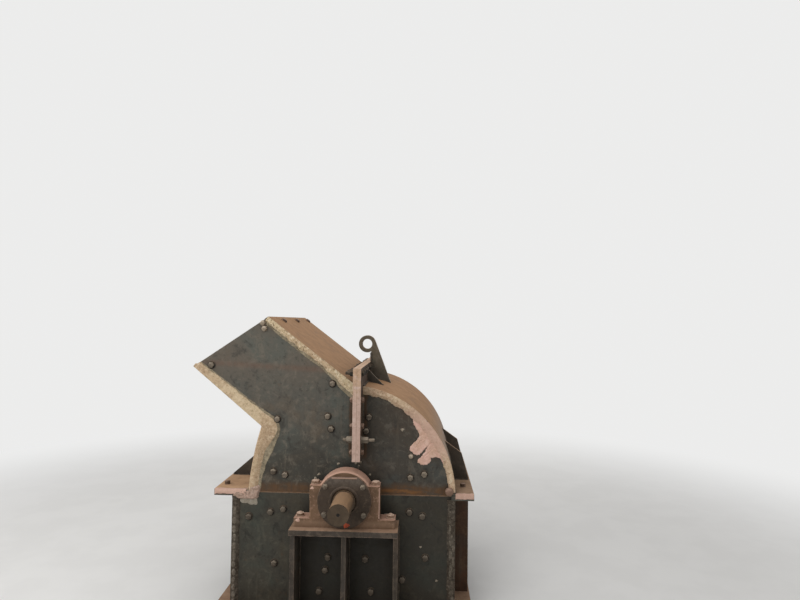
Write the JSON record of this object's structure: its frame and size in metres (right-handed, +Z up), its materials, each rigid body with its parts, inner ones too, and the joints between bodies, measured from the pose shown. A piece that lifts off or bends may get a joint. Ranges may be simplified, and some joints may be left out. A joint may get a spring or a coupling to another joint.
{
  "type": "hammer crusher",
  "caption": "Single-rotor hammer crusher with an angled feed chute, a bolted rear cover, bearings on side brackets and a rotor that turns over a grate.",
  "frame": {"origin": "on the floor under the middle of the machine's overall box", "axes": "+Z up, +X from the feed mouth towards the rear cover, Y along the rotor shaft"},
  "size_m": [1.4506, 1.536, 1.5112],
  "materials": {
    "bare_plate": "dark oxide skin on bare hot rolled steel plate, dusty",
    "dusty_plate": "steel plate under settled tan dust",
    "primed_flange": "pinkish filler and primer on steel",
    "bearing_iron": "cast iron, smeared with pinkish filler",
    "turned_steel": "turned steel with a dull brown film",
    "wear_steel": "rough cast wear steel"
  },
  "bodies": {
    "housing": {"back_bearing_base": "bearing_iron", "back_bearing_cap": "bearing_iron", "back_bracket_ribs": "bare_plate", "back_bracket_shelf": "bare_plate", "back_cover_side_plate": "bare_plate", "back_end_cover": "bearing_iron", "back_feed_side_plate": "bare_plate", "back_lower_side_plate": "bare_plate", "base_frame": "bare_plate", "breaker_plate": "wear_steel", "chute_bottom_plate": "dusty_plate", "chute_top_plate": "dusty_plate", "cover_end_ribs": "bare_plate", "cover_joint_flange": "primed_flange", "cover_joint_ribs": "bare_plate", "cover_liner": "wear_steel", "cover_seam_flange": "bare_plate", "cover_shell": "dusty_plate", "feed_end_ribs": "bare_plate", "feed_joint_flange": "primed_flange", "feed_joint_ribs": "bare_plate", "feed_seam_flange": "bare_plate", "feed_wall": "dusty_plate", "front_bearing_base": "bearing_iron", "front_bearing_cap": "bearing_iron", "front_bracket_ribs": "bare_plate", "front_bracket_shelf": "bare_plate", "front_cover_side_plate": "bare_plate", "front_end_cover": "bearing_iron", "front_feed_side_plate": "bare_plate", "front_lower_side_plate": "bare_plate", "grate_bars": "wear_steel", "grate_rails": "wear_steel", "lifting_lug": "bare_plate", "lower_end_ribs": "bare_plate", "lower_left_flange": "bare_plate", "lower_left_wall": "bare_plate", "lower_right_flange": "bare_plate", "lower_right_wall": "bare_plate", "side_liners": "wear_steel"},
    "rotor": {"hammer_pins": "wear_steel", "hammers": "wear_steel", "rotor_discs": "wear_steel", "rotor_shaft": "turned_steel", "rotor_sleeve": "wear_steel"}
  },
  "joints": [
    {"name": "rotor_spin", "type": "hinge", "parent": "housing", "child": "rotor", "pos_m": [0.08634, 0, 0.62], "axis": [0, 1, 0], "continuous": true}
  ]
}
